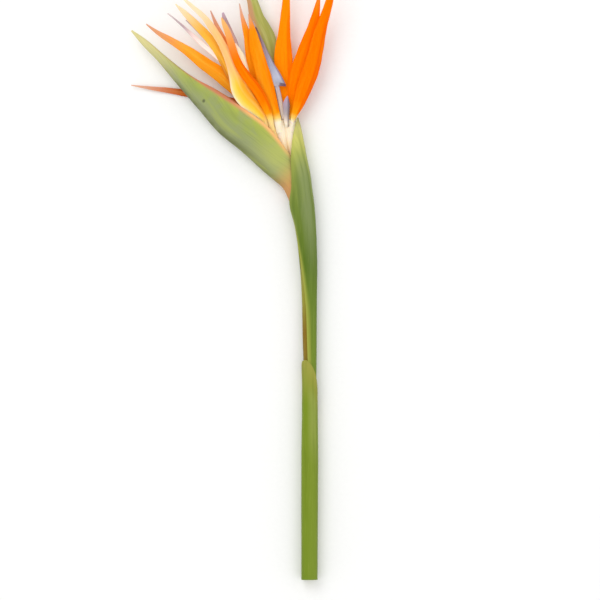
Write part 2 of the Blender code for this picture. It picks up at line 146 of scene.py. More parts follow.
# Stem: x, y, z, half width across, half height. It bends into the spathe at its top.
STEM_STATIONS = [
    (7.6, -312.0, 6.4, 5.0, 5.0),
    (7.9, -225.0, 6.7, 4.1, 4.1),
    (7.7, -157.0, 7.0, 4.1, 4.1),
    (7.0, -120.0, 7.2, 4.9, 4.7),
    (6.8, -95.0, 7.3, 5.1, 4.8),
    (6.2, -57.0, 7.6, 5.9, 5.3),
    (4.2, -28.0, 7.9, 6.7, 5.5),
    (2.4, -11.0, 8.2, 6.2, 5.0),
    (-1.4, 0.0, 8.4, 5.2, 4.4),
    (-7.4, 7.0, 8.7, 3.9, 3.8),
    (-12.6, 11.2, 8.9, 3.0, 3.2),
]

# Sheaths: x, y, z of the middle, half width, half height, and the angles of the far and
# the near margin, in degrees from +X over the near side
UPPER_SHEATH_STATIONS = [
    (7.8, -215.0, 6.7, 5.4, 5.4, -155.0, 82.0),
    (7.9, -157.0, 7.0, 5.2, 5.2, -150.0, 97.0),
    (7.5, -120.0, 7.2, 5.9, 5.8, -150.0, 103.0),
    (7.3, -95.0, 7.3, 6.2, 5.9, -150.0, 108.0),
    (6.4, -57.0, 7.6, 7.4, 6.7, -156.0, 140.0),
    (4.1, -28.0, 7.9, 8.7, 7.6, -165.0, 172.0),
    (1.3, -11.0, 8.1, 10.2, 8.7, -160.0, 164.0),
    (0.4, 0.0, 8.2, 9.6, 9.0, -138.0, 137.0),
    (-0.6, 13.0, 8.3, 8.9, 8.9, -130.0, 130.0),
    (-2.4, 27.0, 8.6, 7.8, 8.0, -122.0, 122.0),
    (-3.0, 40.0, 9.4, 5.9, 5.8, -100.0, 116.0),
    (-2.6, 51.0, 12.0, 3.2, 4.0, -70.0, 108.0),
    (-2.4, 57.8, 15.0, 1.0, 1.0, -60.0, 90.0),
]

# The lower sheath wraps nearly all round, in degrees, and its rounded tip lies over the
# near left side of the stem. Its stations are y, x, z and radius.
LOWER_SHEATH_STATIONS = [
    (-312.0, 7.6, 6.4, 6.5),
    (-260.0, 7.7, 6.7, 6.7),
    (-215.0, 7.8, 6.8, 6.8),
    (-180.0, 7.9, 6.9, 6.4),
    (-157.0, 7.9, 7.0, 6.3),
    (-136.0, 7.7, 7.1, 6.7),
]
LOWER_SHEATH_MARGINS = (-62.0, 292.0)
LOWER_SHEATH_TIP_ANGLE = 107.0
LOWER_SHEATH_TIP_DROP = 48.0
LOWER_SHEATH_TIP_CURVES = (1.3, 2.5)

# Spathe: keel x, y, near margin x, y, height of the middle, half thickness, the angle
# from the keel round to the margins, and how far the far margin stands above the near
SPATHE_STATIONS = [
    (-7.4, -13.0, 1.5, -12.0, 8.2, 6.7, 86.0, 0.0),
    (-9.4, -7.0, 2.0, -4.5, 8.2, 6.6, 94.0, 0.0),
    (-14.4, 2.4, -0.5, 14.0, 8.4, 6.2, 128.0, 0.0),
    (-20.0, 7.2, -4.0, 22.5, 8.6, 6.1, 144.0, 0.0),
    (-27.7, 13.6, -9.6, 30.6, 8.9, 7.6, 138.0, 0.0),
    (-46.0, 30.2, -25.3, 50.1, 9.7, 9.6, 130.0, 0.2),
    (-66.0, 46.8, -45.2, 65.2, 9.8, 9.9, 128.0, 1.3),
    (-80.4, 63.6, -65.3, 78.3, 11.4, 8.8, 128.0, 1.3),
    (-99.0, 85.2, -90.1, 93.3, 12.2, 6.6, 134.0, 0.0),
    (-114.4, 103.7, -109.1, 108.4, 12.8, 4.4, 138.0, 0.0),
    (-126.3, 116.0, -122.8, 120.1, 13.2, 2.8, 138.0, 0.0),
    (-135.2, 126.9, -134.2, 127.9, 13.6, 1.0, 138.0, 0.0),
]

# Floret bases: x, y, z, half width across, half height, from the stem to the sepals
FLORET_BASES = {
    "floret_1_base": [
        (-4.6, 12.0, 9.0, 1.9, 2.0), (-5.0, 24.0, 9.1, 2.4, 2.0), (-6.6, 40.0, 9.9, 3.5, 3.1),
        (-7.1, 48.0, 10.2, 3.9, 2.8), (-7.7, 56.0, 10.5, 3.7, 1.7),
    ],
    "floret_2_base": [
        (-9.4, 14.6, 9.0, 1.9, 2.2), (-11.0, 24.0, 9.4, 2.4, 2.8), (-14.0, 40.0, 9.9, 2.9, 3.1),
        (-15.2, 48.0, 10.2, 3.3, 2.8), (-16.6, 55.7, 10.3, 3.1, 1.7),
    ],
    "floret_3_base": [
        (-14.6, 15.8, 9.2, 1.9, 2.2), (-17.0, 25.0, 9.6, 2.4, 2.8), (-20.8, 40.0, 10.2, 2.8, 3.1),
        (-22.4, 48.0, 10.6, 3.2, 2.9), (-24.1, 56.0, 10.9, 3.1, 2.0),
    ],
    "floret_4_base": [
        (-19.4, 16.8, 9.2, 1.9, 2.2), (-23.0, 26.0, 9.6, 2.4, 2.8),
        (-28.4, 40.0, 9.8, 2.8, 3.0), (-32.6, 53.4, 10.0, 3.3, 3.2),
    ],
}

# Blades: look, keel, fold, then x, y, z and width of each station, from root to tip. The
# fold is where the blade is creased, from -1 to 1 across it, and how deeply.
BLADES = {
    "floret_1_sepal_front": ("sepal_deep", 0.14, (-0.35, 0.05), [
        (-5.9, 46.5, 14.1, 4.4), (-5.3, 57.0, 13.0, 4.2), (-1.4, 68.0, 14.2, 8.6),
        (3.4, 81.6, 15.8, 12.4), (9.0, 96.8, 18.0, 13.0), (16.5, 127.2, 23.0, 9.2),
        (23.9, 152.0, 28.0, 5.7), (28.8, 188.0, 37.0, 0.8),
    ]),
    "floret_1_sepal_middle": ("sepal_deep", 0.10, (-0.2, 0.06), [
        (-6.2, 57.0, 10.4, 5.0), (-4.2, 68.0, 11.0, 8.6), (-3.2, 80.0, 12.0, 12.4),
        (-1.2, 92.0, 13.2, 14.4), (4.0, 112.0, 15.5, 10.9), (10.1, 128.8, 17.6, 9.2),
        (13.6, 144.8, 19.6, 4.8), (16.0, 159.2, 21.5, 0.8),
    ]),
    "floret_1_sepal_back": ("sepal_folded", -0.10, (0.35, 0.10), [
        (-7.8, 57.0, 8.2, 5.0), (-8.4, 65.6, 8.2, 7.2), (-10.0, 76.0, 8.4, 11.2),
        (-12.4, 92.0, 9.0, 14.4), (-13.4, 108.8, 10.0, 14.0), (-12.3, 130.4, 11.4, 8.9),
        (-11.0, 152.0, 13.0, 6.1), (-10.6, 185.6, 16.0, 0.8),
    ]),
    "floret_1_hood_petal": ("petal_pale", 0.16, (0.3, 0.08), [
        (-10.4, 50.5, 14.4, 2.8), (-10.9, 57.0, 13.9, 4.4), (-11.0, 62.0, 14.1, 5.0),
        (-10.9, 69.5, 14.9, 5.0), (-10.0, 75.0, 15.6, 0.8),
    ]),
    "floret_2_sepal_front": ("sepal_bright", 0.14, (-0.3, 0.05), [
        (-16.2, 45.5, 14.2, 4.6), (-18.5, 57.4, 13.7, 6.4), (-22.0, 67.0, 14.4, 9.4),
        (-26.3, 80.0, 15.8, 12.4), (-30.5, 96.0, 18.8, 11.4), (-35.2, 112.8, 21.8, 9.8),
        (-38.2, 128.6, 24.4, 4.8), (-40.9, 139.6, 26.2, 0.8),
    ]),
    "floret_2_sepal_middle": ("sepal_slim", 0.10, (-0.2, 0.05), [
        (-16.8, 57.0, 10.4, 5.0), (-20.8, 63.2, 10.8, 6.2), (-26.4, 72.0, 11.3, 8.4),
        (-32.8, 88.0, 13.4, 10.4), (-38.4, 105.6, 16.6, 9.4), (-41.6, 121.6, 19.2, 6.6),
        (-46.0, 137.2, 22.0, 2.8), (-48.3, 148.2, 23.9, 0.8),
    ]),
    "floret_2_sepal_back": ("sepal_pale", 0.10, (-0.3, 0.05), [
        (-18.2, 57.0, 8.2, 4.2), (-23.2, 63.2, 8.4, 5.6), (-30.4, 72.0, 9.0, 7.5),
        (-38.8, 86.4, 11.2, 9.4), (-44.8, 100.0, 13.6, 8.0), (-48.6, 109.6, 15.7, 5.0),
        (-51.4, 117.0, 17.6, 0.8),
    ]),
    "floret_3_sepal_right": ("sepal_split", 0.14, (0.2, 0.05), [
        (-21.9, 47.0, 14.9, 4.0), (-23.9, 57.0, 15.9, 4.6), (-26.5, 65.0, 17.2, 6.8),
        (-30.2, 73.0, 18.7, 8.0), (-35.8, 81.8, 20.8, 8.2), (-42.6, 90.4, 22.8, 7.4),
        (-48.2, 98.6, 24.6, 6.8), (-52.0, 107.2, 26.0, 6.2), (-54.8, 116.0, 27.6, 5.8),
        (-57.8, 125.4, 29.7, 4.8), (-60.6, 132.0, 31.6, 3.4), (-62.4, 136.4, 33.0, 0.8),
    ]),
    "floret_3_sepal_middle": ("sepal_dusky", -0.10, (-0.3, 0.05), [
        (-24.4, 57.0, 10.8, 4.4), (-33.0, 72.0, 13.0, 6.4), (-41.4, 84.8, 16.4, 7.4),
        (-49.6, 98.4, 18.8, 7.2), (-56.8, 112.0, 21.4, 6.0), (-63.2, 124.0, 24.0, 4.4),
        (-67.8, 134.0, 26.3, 2.6), (-71.2, 142.2, 28.7, 0.8),
    ]),
    "floret_3_sepal_left": ("sepal_yellow", 0.14, (0.1, 0.06), [
        (-26.8, 50.0, 15.0, 3.8), (-29.5, 57.2, 15.3, 5.5), (-35.8, 64.6, 16.2, 9.8),
        (-42.8, 71.9, 18.2, 13.7), (-47.9, 80.2, 20.0, 14.0), (-51.2, 90.6, 21.2, 11.2),
        (-55.4, 102.6, 22.8, 8.4), (-61.8, 115.2, 25.6, 6.4), (-69.6, 128.0, 28.2, 5.8),
        (-76.3, 136.8, 31.0, 4.6), (-85.2, 144.8, 33.4, 3.4), (-95.2, 153.6, 36.4, 0.8),
    ]),
    "floret_4_sepal_upper": ("sepal_gold", 0.12, (0.2, 0.05), [
        (-31.4, 54.6, 12.6, 2.8), (-38.4, 65.6, 13.0, 4.4), (-48.0, 78.4, 14.4, 6.4),
        (-56.0, 92.8, 16.0, 7.2), (-62.4, 105.6, 17.0, 7.2), (-68.8, 116.0, 18.4, 7.2),
        (-75.2, 124.0, 19.6, 6.8), (-82.4, 131.2, 21.0, 6.4), (-93.6, 142.4, 23.6, 3.6),
        (-99.2, 147.7, 25.0, 0.8),
    ]),
    "floret_4_sepal_middle": ("sepal_amber", 0.10, (0.15, 0.06), [
        (-33.6, 54.6, 9.6, 2.8), (-40.8, 67.2, 9.5, 5.6), (-50.4, 79.2, 10.4, 9.6),
        (-62.4, 91.2, 12.0, 12.0), (-76.0, 100.8, 13.6, 10.4), (-88.8, 110.4, 15.2, 8.0),
        (-101.6, 118.4, 16.8, 5.6), (-114.4, 126.0, 18.6, 3.2), (-122.8, 132.2, 20.0, 0.8),
    ]),
    "floret_4_sepal_lower": ("sepal_brown", -0.08, (0.1, 0.04), [
        (-34.6, 54.4, 7.0, 2.6), (-37.2, 62.8, 5.8, 3.6), (-42.0, 68.8, 3.2, 3.8),
        (-48.0, 71.2, 1.5, 3.9), (-60.0, 72.8, 1.1, 4.8), (-76.0, 75.6, 1.0, 5.4),
        (-91.2, 78.0, 1.1, 5.6), (-104.0, 80.0, 1.5, 4.6), (-119.6, 82.0, 2.4, 2.8),
        (-135.4, 84.3, 3.6, 0.8),
    ]),
    "floret_4_arrow_petal": ("petal_withered", 0.12, (0.0, 0.08), [
        (-30.8, 54.6, 8.6, 1.6), (-42.0, 68.0, 7.6, 1.8), (-51.0, 84.0, 8.6, 1.8),
        (-57.0, 96.2, 9.8, 2.2), (-62.8, 102.8, 12.6, 3.4), (-80.2, 118.2, 16.4, 3.6),
        (-96.0, 132.8, 20.0, 1.6), (-105.6, 140.6, 21.6, 0.8),
    ]),
    "inner_bract": ("bract_green", -0.16, (-0.1, 0.06), [
        (-10.6, 46.0, 6.0, 2.6), (-11.2, 58.0, 5.6, 5.0), (-12.6, 69.6, 5.4, 8.0),
        (-16.8, 84.0, 5.4, 12.0), (-22.4, 102.4, 5.8, 15.5), (-27.2, 121.6, 7.2, 15.0),
        (-34.4, 137.6, 9.0, 12.0), (-38.4, 152.0, 11.0, 8.2), (-49.6, 180.0, 16.0, 0.8),
    ]),
}

# Arrow petals: look, keel, the claw and the barbed head. A head station ends with how
# far its edges reach back towards the root.
ARROWS = {
    "floret_1_arrow_petal": ("petal_blue", 0.12, [
        (-13.2, 57.0, 11.9, 2.8), (-13.9, 61.0, 11.8, 3.6), (-14.9, 66.0, 11.9, 4.0),
        (-16.3, 72.8, 12.3, 4.0), (-18.4, 82.8, 13.6, 3.6),
    ], [
        (-18.8, 84.8, 13.6, 14.0, 3.6), (-20.8, 90.4, 14.3, 12.0, 2.0),
        (-23.6, 98.4, 15.4, 8.0, 0.6), (-27.2, 108.0, 17.0, 5.2, 0.0),
        (-31.2, 118.4, 18.8, 3.6, 0.0), (-35.4, 129.8, 20.8, 1.0, 0.0),
    ]),
    "floret_2_arrow_petal": ("petal_blue", 0.12, [
        (-14.4, 57.6, 8.2, 2.0), (-18.6, 64.0, 8.6, 2.2), (-23.6, 74.0, 9.4, 2.4),
        (-28.0, 84.6, 10.4, 2.6),
    ], [
        (-28.4, 85.8, 10.5, 8.0, 3.0), (-30.2, 91.0, 11.2, 6.6, 1.6),
        (-33.0, 99.0, 12.2, 4.6, 0.4), (-37.0, 114.0, 14.2, 1.0, 0.0),
    ]),
    "floret_3_arrow_petal": ("petal_dusky", 0.12, [
        (-25.6, 57.0, 8.6, 2.0), (-34.0, 71.0, 7.0, 2.2), (-41.0, 84.0, 8.2, 2.4),
        (-46.0, 95.0, 9.8, 2.6),
    ], [
        (-46.4, 96.2, 10.0, 5.0, 2.0), (-49.0, 106.0, 12.0, 4.8, 1.0),
        (-52.3, 118.0, 14.4, 4.8, 0.0), (-55.6, 125.0, 17.0, 4.8, 0.0),
        (-59.8, 134.4, 22.6, 4.4, 0.0), (-61.4, 140.8, 26.4, 1.6, 0.0),
    ]),
}

# Styles: x, y, z and radius
STYLES = {
    "floret_1_style": [
        (-11.9, 58.0, 9.2, 0.4), (-15.4, 66.0, 10.0, 0.4), (-18.6, 83.6, 11.8, 0.5),
        (-23.6, 98.4, 14.2, 0.5), (-31.2, 118.4, 17.6, 0.5), (-37.4, 134.4, 20.4, 0.4),
    ],
    "floret_4_style": [
        (-30.6, 54.6, 10.8, 0.5), (-41.0, 68.4, 11.2, 0.5), (-52.6, 86.0, 12.8, 0.5),
        (-63.4, 103.4, 15.0, 0.5), (-78.6, 122.6, 18.2, 0.5), (-91.0, 135.4, 19.8, 0.4),
    ],
}


def rgb(red, green, blue):
    """A linear colour from display values of 0 to 255."""
    parts = (np.array([red, green, blue]) / 255.0).tolist()
    linear = [p / 12.92 if p <= 0.04045 else ((p + 0.055) / 1.055) ** 2.4 for p in parts]
    return (*linear, 1.0)


# Colours

ROOT_WHITE = rgb(252, 236, 208)
ROOT_WARM = rgb(253, 218, 142)
ROOT_YELLOW = rgb(255, 208, 104)
ORANGE_DEEP = rgb(255, 122, 0)
ORANGE_RED = rgb(236, 96, 4)
ORANGE_FOLD = rgb(255, 136, 6)
ORANGE_BRIGHT = rgb(254, 146, 12)
ORANGE_AMBER = rgb(252, 160, 14)
ORANGE_LIGHT = rgb(255, 172, 46)
ORANGE_BROWN = rgb(200, 92, 34)
YELLOW = rgb(255, 216, 80)
CREAM = rgb(254, 238, 206)
PEACH = rgb(252, 192, 128)
FADED = rgb(253, 228, 194)
GOLD = rgb(255, 190, 66)
TIP_PALE = rgb(228, 192, 170)
TIP_BROWN = rgb(214, 160, 130)
TIP_ORANGE = rgb(244, 140, 60)
TIP_GOLD = rgb(255, 192, 118)

SPATHE_GREEN = rgb(150, 163, 80)
SPATHE_BLOOM = rgb(148, 156, 112)
SPATHE_OLIVE = rgb(104, 110, 58)
# Painted shade along the spathe's keel
KEEL_SHADE = rgb(80, 86, 50)
SPATHE_YELLOW = rgb(172, 182, 74)
SPATHE_PALE = rgb(184, 188, 104)
SPATHE_TIP = rgb(216, 206, 142)
SPATHE_HEEL = rgb(206, 142, 82)
SPATHE_SPOT = rgb(72, 74, 52)
MARGIN_RED = rgb(206, 122, 92)
MARGIN_OLIVE = rgb(158, 136, 78)
MARGIN_PEACH = rgb(250, 186, 118)
MARGIN_TAN = rgb(206, 194, 118)
# Painted shadow under the barbs of the blue petals
BARB_SHADOW = rgb(96, 66, 86)

# Colours along the reach of the blue petals and the withered ones
BLUE_STOPS = [
    (0.0, rgb(226, 210, 186)), (0.12, rgb(214, 188, 166)), (0.2, rgb(198, 172, 166)),
    (0.27, rgb(164, 164, 180)), (0.34, rgb(184, 186, 204)), (0.5, rgb(160, 160, 180)),
    (0.7, rgb(158, 132, 142)), (0.88, rgb(128, 96, 98)), (1.0, rgb(96, 66, 70)),
]
WITHERED_STOPS = [
    (0.0, rgb(250, 226, 208)), (0.45, rgb(255, 226, 212)), (0.7, rgb(246, 212, 200)),
    (0.86, rgb(150, 122, 136)), (1.0, rgb(110, 84, 104)),
]


# Curves and meshes

def smooth(stations, sections):
    """Evenly spaced rows of a smooth curve through the stations."""
    rows = np.array(stations, dtype=float)
    steps = np.linalg.norm(np.diff(rows[:, :2], axis=0), axis=1)
    places = np.concatenate([[0.0], np.cumsum(steps)])
    slopes = np.gradient(rows, places, axis=0)
    out = []
    for place in np.linspace(0.0, places[-1], sections + 1):
        i = int(np.clip(np.searchsorted(places, place, side="right") - 1, 0, len(rows) - 2))
        span = places[i + 1] - places[i]
        u = (place - places[i]) / span
        out.append(
            (2 * u**3 - 3 * u**2 + 1) * rows[i]
            + (u**3 - 2 * u**2 + u) * span * slopes[i]
            + (3 * u**2 - 2 * u**3) * rows[i + 1]
            + (u**3 - u**2) * span * slopes[i + 1]
        )
    return np.array(out)


def directions(points):
    """Unit vectors along a line of points, across it in the surface, and out of its face."""
    along = np.gradient(points, axis=0)
    along /= np.linalg.norm(along, axis=1)[:, None]
    across = np.cross(along, [0.0, 0.0, 1.0])
    across /= np.linalg.norm(across, axis=1)[:, None]
    return along, across, np.cross(across, along)


def distances(points):
    """Length along a line of points from its first one."""
    steps = np.linalg.norm(np.diff(points, axis=0), axis=1)
    return np.concatenate([[0.0], np.cumsum(steps)])


def vein(place, gap, height):
    """Rounded ridges, a gap apart."""
    return height * math.cos(2 * math.pi * place / gap)


def fade(value, start, end):
    """0 up to start, 1 from end, smooth between."""
    share = min(max((value - start) / (end - start), 0.0), 1.0)
    return share * share * (3 - 2 * share)


def add_object(name, data):
    made = bpy.data.objects.new(name, data)
    bpy.context.scene.collection.objects.link(made)
    return made


def add_mesh(node, points, faces, marks, coat):
    """A smooth object in place of a node. Marks hold three values at each point."""
    name = node + "_form"
    if turned_in(points, faces):
        faces = [tuple(reversed(face)) for face in faces]
    mesh = bpy.data.meshes.new(name)
    mesh.from_pydata((points * MM).tolist(), [], faces)
    mesh.validate()
    for mark, values in marks.items():
        layer = mesh.attributes.new(mark, "FLOAT_VECTOR", "POINT")
        layer.data.foreach_set("vector", np.array(values, dtype=np.float32).ravel())
    mesh.shade_smooth()
    mesh.set_sharp_from_angle(angle=math.radians(SHARP_ANGLE))
    mesh.materials.append(look(coat))
    made = add_object(name, mesh)
    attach(made, "root")
    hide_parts(node)


def add_wall(node, columns, near, far, place, run, coat, far_run=None):
    """A closed sheet between two faces, given as lists of points, row by row."""
    count = len(near)
    rows = count // columns
    faces = []
    for i in range(rows - 1):
        for j in range(columns - 1):
            a = i * columns + j
            b, c, d = a + 1, a + columns + 1, a + columns
            faces += [(a, b, c, d), (count + d, count + c, count + b, count + a)]
    rim = list(range(columns))
    rim += [i * columns + columns - 1 for i in range(1, rows)]
    rim += [(rows - 1) * columns + j for j in range(columns - 2, -1, -1)]
    rim += [i * columns for i in range(rows - 2, 0, -1)]
    for a, b in zip(rim, rim[1:] + rim[:1]):
        faces.append((b, a, count + a, count + b))
    marks = {"place": place + place, "run": run + (far_run or run)}
    add_mesh(node, np.array(near + far), faces, marks, coat)


def turned_in(points, faces):
    """Whether a closed shape's faces point inwards, by the sign of its volume."""
    quads = np.array([face for face in faces if len(face) == 4])
    a, b, c, d = (points[quads[:, k]] for k in range(4))
    volume = np.einsum("ij,ij->i", a, np.cross(b, c)) + np.einsum("ij,ij->i", a, np.cross(c, d))
    return volume.sum() < 0


def add_rod(node, stations, sections, sides, gap, height, coat):
    """A closed rod with oval, veined sections square to its path.

    Its mark "run" ends with 1 on its skin and 0 in the middle of its ends.
    """
    rows = smooth(stations, sections)
    _, across, out = directions(rows[:, :3])
    runs = distances(rows[:, :3])
    points, place, run = [], [], []
    for i, (row, side, up) in enumerate(zip(rows, across, out)):
        for k in range(sides):
            turn = 2 * math.pi * k / sides
            around = turn * (row[3] + row[-1]) / 2
            ridge = vein(around, gap, height) if gap else 0.0
            points.append(
                row[:3]
                + side * (row[3] + ridge) * math.cos(turn)
                + up * (row[-1] + ridge) * math.sin(turn)
            )
            place.append((i / sections, math.sin(turn), turn))
            run.append((runs[i], around, 1.0))
    for i in (0, sections):
        points.append(rows[i, :3])
        place.append((i / sections, 0.0, 0.0))
        run.append((runs[i], 0.0, 0.0))
    faces = []
    last = sections * sides
    for k in range(sides):
        after = (k + 1) % sides
        for i in range(sections):
            a, b = i * sides + k, i * sides + after
            faces.append((a, b, b + sides, a + sides))
        faces.append((len(points) - 2, after, k))
        faces.append((len(points) - 1, last + k, last + after))
    add_mesh(node, np.array(points), faces, {"place": place, "run": run}, coat)


# Sepals, petals and the inner bract

def blade_faces(rows, keel, fold, thickness, seed, groove=0.0):
    """Both faces of a keeled, creased and veined blade, and their marks.

    The mark "place" holds reach, side and half width, and "run" the lengths along and
    across and the seed. Lengths along start at the sepal line, if the blade crosses it.
    """
    along, across, out = directions(rows[:, :3])
    runs = distances(rows[:, :3])
    if rows[0, 1] < SEPAL_LINE < rows[-1, 1]:
        runs -= np.interp(SEPAL_LINE, rows[:, 1], runs)
    crease, depth = fold
    near, far, place, run = [], [], [], []
    last = len(rows) - 1
    for i, (row, ahead, side, up) in enumerate(zip(rows, along, across, out)):
        width = max(row[3], THINNEST_WIDTH)
        back = row[4] if len(row) > 4 else 0.0
        reach = i / last
        shown = fade(reach, WAVES_FROM, WAVES_TO)
        sway = WIDTH_WAVE * math.sin(WIDTH_PACE * runs[i] + seed)
        sway += WIDTH_RIPPLE * math.sin(RIPPLE_PACE * runs[i] + 2 * seed)
        for v in np.linspace(-1.0, 1.0, BLADE_COLUMNS):
            edge = abs(v)
            offset = v * width / 2 * (1 + sway * shown)
            lift = keel * width * (0.5 - edge**BLADE_CURVE)
            if row[1] < SEPAL_LINE:
                lift -= ROOT_SINK * (1 - fade(reach, 0.0, SINK_SHARE))
            lift -= shown * depth * width * (abs(v - crease) - 0.5)
            lift -= groove * math.exp(-((v / GROOVE_WIDTH) ** 2))
            lift += shown * EDGE_WAVE * math.sin(EDGE_PACE * runs[i] + 3 * seed + v) * edge**3
            wall = thickness * (1 - (1 - EDGE_SHARE) * edge**3) * (1 - TIP_THINNING * reach)
            ridge = vein(offset, BLADE_VEIN_GAP, BLADE_VEIN_HEIGHT) * (1 - edge**4)
            middle = row[:3] + side * offset + up * lift - ahead * back * edge**BLADE_CURVE
            near.append(middle + up * (wall / 2 + ridge))
            far.append(middle - up * (wall / 2 + ridge))
            place.append((reach, v, width / 2))
            run.append((runs[i], offset, seed))
    return near, far, place, run


def add_blade(node, coat, keel, fold, stations, seed):
    rows = smooth(stations, BLADE_SECTIONS)
    faces = blade_faces(rows, keel, fold, BLADE_THICKNESS, seed)
    add_wall(node, BLADE_COLUMNS, *faces, coat)


def add_arrow(node, coat, keel, claw, head, seed):
    """An arrow petal: its narrow claw runs into a head with two barbs and a groove."""
    claw_rows = smooth(claw, CLAW_SECTIONS)
    claw_rows = np.hstack([claw_rows, np.zeros((len(claw_rows), 1))])
    rows = np.vstack([claw_rows, smooth(head, BLADE_SECTIONS)])
    faces = blade_faces(rows, keel, (0.0, 0.0), ARROW_THICKNESS, seed, GROOVE_DEPTH)
    add_wall(node, BLADE_COLUMNS, *faces, coat)


# Stem, sheaths and spathe

def boxy(value):
    """A sine or cosine for a boxy section in place of a round one."""
    return math.copysign(abs(value) ** SHEATH_BOXINESS, value)


def sheath_point(x, y, z, wide, high, angle, inset):
    """A point on a sheath, inset from its outer face and flattened where it rests."""
    reach = max(wide - inset, LEAST_RADIUS) * boxy(math.cos(angle))
    rise = max(high - inset, LEAST_RADIUS) * boxy(math.sin(angle))
    return x + reach, y, max(z + rise, inset, 0.0)


def edge_wall(share):
    """How thick a wall is at this share of the way to its margin."""
    return 1 - (1 - EDGE_SHARE) * fade(share, EDGE_FROM, 1.0)


def add_sheath(node, coat, oval, seed):
    """A veined sheath that thins towards its edges.

    For each section and place across it, oval gives x, y, z, half width, half height,
    degrees and length along, and how near an edge that place is.
    """
    outer, inner, place, run = [], [], [], []
    for i in range(SHEATH_SECTIONS + 1):
        for v in np.linspace(-1.0, 1.0, SHEATH_COLUMNS):
            x, y, z, wide, high, degrees, length, edge = oval(i, v)
            angle = math.radians(degrees)
            around = angle * (wide + high) / 2
            ridge = vein(around, SHEATH_VEIN_GAP, SHEATH_VEIN_HEIGHT) * (1 - v**VEIN_FADE)
            wall = SHEATH_THICKNESS * edge_wall(edge)
            outer.append(sheath_point(x, y, z, wide, high, angle, -ridge))
            inner.append(sheath_point(x, y, z, wide, high, angle, wall))
            place.append((i / SHEATH_SECTIONS, v, angle))
            run.append((length, around, seed))
    add_wall(node, SHEATH_COLUMNS, outer, inner, place, run, coat)


def add_upper_sheath():
    """The sheath that wraps the stem and the neck and ends in a point."""
    rows = smooth(UPPER_SHEATH_STATIONS, SHEATH_SECTIONS)
    runs = distances(rows[:, :3])

    def oval(i, v):
        *middle, first, last = rows[i]
        return *middle, (first + last) / 2 + v * (last - first) / 2, runs[i], abs(v)

    add_sheath("upper_sheath", "sheath", oval, 0.0)


def lower_sheath_end(degrees):
    """Where the lower sheath ends along Y at that angle round the stem."""
    near, far = LOWER_SHEATH_MARGINS
    near_curve, far_curve = LOWER_SHEATH_TIP_CURVES
    margin, curve = (far, far_curve) if degrees > LOWER_SHEATH_TIP_ANGLE else (near, near_curve)
    off_tip = (degrees - LOWER_SHEATH_TIP_ANGLE) / (margin - LOWER_SHEATH_TIP_ANGLE)
    return LOWER_SHEATH_STATIONS[-1][0] - LOWER_SHEATH_TIP_DROP * off_tip**curve


def add_lower_sheath():
    """The sheath at the stem's lower end, with its rounded tip."""
    places, *values = np.array(LOWER_SHEATH_STATIONS).T
    first, last = LOWER_SHEATH_MARGINS

    def oval(i, v):
        degrees = (first + last) / 2 + v * (last - first) / 2
        reach = i / SHEATH_SECTIONS
        y = places[0] + (lower_sheath_end(degrees) - places[0]) * reach
        x, z, radius = (np.interp(y, places, value) for value in values)
        return x, y, z, radius, radius, degrees, y - places[0], max(abs(v), reach)

    add_sheath("lower_sheath", "lower_sheath", oval, 1.0)


def add_spathe():
    """The folded spathe, from its near margin round its keel to its far margin.

    Its mark "place" holds reach, side and the distance to the margin, and "run" the
    lengths along and around and 1 on the inner face.
    """
    outer, inner, place, run, run_inner = [], [], [], [], []
    rows = smooth(SPATHE_STATIONS, SPATHE_SECTIONS)
    runs = distances(rows[:, 0:2])
    for i, row in enumerate(rows):
        keel, margin = row[0:2], row[2:4]
        middle, half, turn, rise = row[4:8]
        turn = math.radians(turn)
        height = np.linalg.norm(margin - keel)
        up = (margin - keel) / height
        radius = height / (1 - math.cos(turn))
        wall = min(SPATHE_THICKNESS, SPATHE_WALL_SHARE * half)
        girth = height * SPATHE_GIRTH
        for v in np.linspace(1.0, -1.0, SPATHE_COLUMNS):
            angle = abs(v) * turn
            ridge = vein(v * girth, SPATHE_VEIN_GAP, SPATHE_VEIN_HEIGHT) * (1 - v**VEIN_FADE)
            ridge *= fade(abs(v), SPATHE_VEINS_FROM, SPATHE_VEINS_TO)
            ridge *= min(1.0, half / SPATHE_VEINS_HALF)
            for face, inset in ((outer, -ridge), (inner, wall * edge_wall(abs(v)))):
                along = radius - (radius - inset) * math.cos(angle)
                if v < 0:
                    along += rise * v**4
                out = (half - inset) * math.sin(angle) ** SPATHE_KEEL
                x, y = keel + up * along
                face.append((x, y, max(middle + math.copysign(out, v), inset, 0.0)))
            place.append((i / SPATHE_SECTIONS, v, (1 - abs(v)) * girth))
            run.append((runs[i], v * girth, 0.0))
            run_inner.append((runs[i], v * girth, 1.0))
    add_wall("spathe", SPATHE_COLUMNS, outer, inner, place, run, "spathe", run_inner)


# Materials

